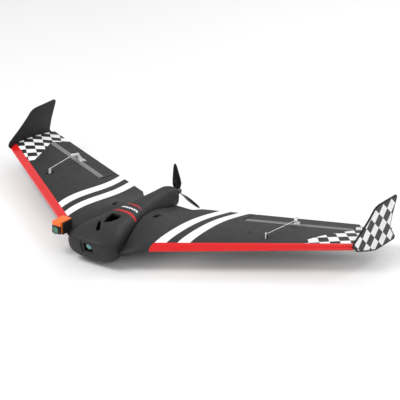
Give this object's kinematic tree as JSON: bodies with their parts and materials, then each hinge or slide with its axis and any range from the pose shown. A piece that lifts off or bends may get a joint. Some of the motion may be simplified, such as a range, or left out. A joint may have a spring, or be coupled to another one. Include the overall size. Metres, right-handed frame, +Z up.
{
  "type": "rc flying wing",
  "caption": "Foam flying wing model aircraft with elevons on pushrods, winglets, a pusher propeller, a lift-off hatch, a nose camera and a side camera.",
  "frame": {"origin": "on the ground below the middle of the whole aircraft", "axes": "+Z up, -Y towards the nose, +X towards the left wing tip"},
  "size_m": [0.9, 0.4744, 0.1241],
  "materials": {
    "dark_foam": "moulded bead foam, dark grey with white stripes",
    "winglet_foam": "moulded foam, black with white squares",
    "red_tape": "glossy self-adhesive film",
    "clear_tape": "clear fibre tape",
    "carbon_tube": "pultruded carbon",
    "black_plastic": "moulded",
    "servo_case": "moulded",
    "white_nylon": "moulded nylon",
    "steel": "plated",
    "magnet": "nickel plated",
    "winding_copper": "enamelled wire",
    "bell_metal": "black anodised",
    "propeller_black": "moulded",
    "heat_shrink": "shrunk sleeve",
    "lead_sleeve": "silicone sleeve",
    "battery_wrap": "shrink wrap",
    "red_strap": "woven strap",
    "circuit_board": "solder mask",
    "transmitter_case": "pressed can",
    "lens_glass": "coated",
    "orange_plastic": "painted",
    "green_glass": "coated"
  },
  "bodies": {
    "airframe": {"centre_body": "dark_foam", "wing_left": "dark_foam", "wing_right": "dark_foam", "winglet_left": "winglet_foam", "winglet_right": "winglet_foam", "hinge_tape_front": "clear_tape", "edge_tape_left": "red_tape", "edge_tape_right": "red_tape", "main_spar": "carbon_tube", "rear_spar": "carbon_tube", "winglet_pins": "carbon_tube", "skid_rails": "black_plastic", "body_magnets": "magnet", "motor_mount": "black_plastic", "motor_mount_screws": "steel", "motor_stator": "winding_copper", "speed_controller": "heat_shrink", "motor_leads": "lead_sleeve", "battery": "battery_wrap", "battery_strap": "red_strap", "servo_left": "servo_case", "servo_right": "servo_case", "servo_leads": "lead_sleeve", "flight_controller": "circuit_board", "receiver": "black_plastic", "video_transmitter": "transmitter_case", "camera_bracket": "black_plastic", "camera_screws": "steel", "action_mount": "black_plastic", "action_body": "orange_plastic", "action_front": "black_plastic", "action_lens": "green_glass"},
    "hatch": {"hatch": "dark_foam", "hatch_magnets": "magnet"},
    "elevon_left": {"elevon_left": "dark_foam", "hinge_tape_left": "clear_tape", "control_horn_left": "white_nylon", "horn_plate_left": "white_nylon", "horn_screws_left": "steel"},
    "elevon_right": {"elevon_right": "dark_foam", "hinge_tape_right": "clear_tape", "control_horn_right": "white_nylon", "horn_plate_right": "white_nylon", "horn_screws_right": "steel"},
    "servo_arm_left": {"servo_arm_left": "white_nylon", "servo_screw_left": "steel"},
    "servo_arm_right": {"servo_arm_right": "white_nylon", "servo_screw_right": "steel"},
    "pushrod_left": {"pushrod_left": "steel", "clevis_left": "white_nylon"},
    "pushrod_right": {"pushrod_right": "steel", "clevis_right": "white_nylon"},
    "rotor": {"motor_bell": "bell_metal", "motor_shaft": "steel", "propeller": "propeller_black", "propeller_nut": "steel"},
    "nose_camera": {"camera_body": "black_plastic", "camera_lens": "lens_glass"},
    "record_button": {"record_button": "black_plastic"},
    "power_button": {"power_button": "black_plastic"}
  },
  "joints": [
    {"name": "elevon_left_hinge", "type": "hinge", "parent": "airframe", "child": "elevon_left", "pos_m": [0.286, 0.10913, 0.0537], "axis": [0.9148, 0.4039, 0], "range_deg": [-25, 25]},
    {"name": "servo_left_turn", "type": "hinge", "parent": "airframe", "child": "servo_arm_left", "pos_m": [0.28, 0.00247, 0.0535], "axis": [0.9148, 0.4039, 0], "range_deg": [-25, 25]},
    {"name": "pushrod_left_pivot", "type": "hinge", "parent": "servo_arm_left", "child": "pushrod_left", "pos_m": [0.28, 0.00247, 0.0685], "axis": [0.9148, 0.4039, 0], "range_deg": [-25, 25]},
    {"name": "elevon_right_hinge", "type": "hinge", "parent": "airframe", "child": "elevon_right", "pos_m": [-0.286, 0.10913, 0.0537], "axis": [0.9148, -0.4039, 0], "range_deg": [-25, 25]},
    {"name": "servo_right_turn", "type": "hinge", "parent": "airframe", "child": "servo_arm_right", "pos_m": [-0.28, 0.00247, 0.0535], "axis": [0.9148, -0.4039, 0], "range_deg": [-25, 25]},
    {"name": "pushrod_right_pivot", "type": "hinge", "parent": "servo_arm_right", "child": "pushrod_right", "pos_m": [-0.28, 0.00247, 0.0685], "axis": [0.9148, -0.4039, 0], "range_deg": [-25, 25]},
    {"name": "propeller_spin", "type": "hinge", "parent": "airframe", "child": "rotor", "pos_m": [0, 0.05897, 0.0625], "axis": [0, 1, 0], "continuous": true},
    {"name": "hatch_lift", "type": "slide", "parent": "airframe", "child": "hatch", "axis": [0, 0, 1], "range_m": [0, 0.06]},
    {"name": "camera_tilt", "type": "hinge", "parent": "airframe", "child": "nose_camera", "pos_m": [0, -0.21203, 0.0484], "axis": [1, 0, 0], "range_deg": [-10, 10]},
    {"name": "record_press", "type": "slide", "parent": "airframe", "child": "record_button", "axis": [1, 0, 0], "range_m": [0, 0.0006], "stiffness_N_per_m": 400},
    {"name": "power_press", "type": "slide", "parent": "airframe", "child": "power_button", "axis": [1, 0, 0], "range_m": [0, 0.0006], "stiffness_N_per_m": 400}
  ],
  "couplings": [
    {"joint": "servo_left_turn", "follows": "elevon_left_hinge", "ratio": 1},
    {"joint": "pushrod_left_pivot", "follows": "elevon_left_hinge", "ratio": -1},
    {"joint": "servo_right_turn", "follows": "elevon_right_hinge", "ratio": 1},
    {"joint": "pushrod_right_pivot", "follows": "elevon_right_hinge", "ratio": -1}
  ]
}
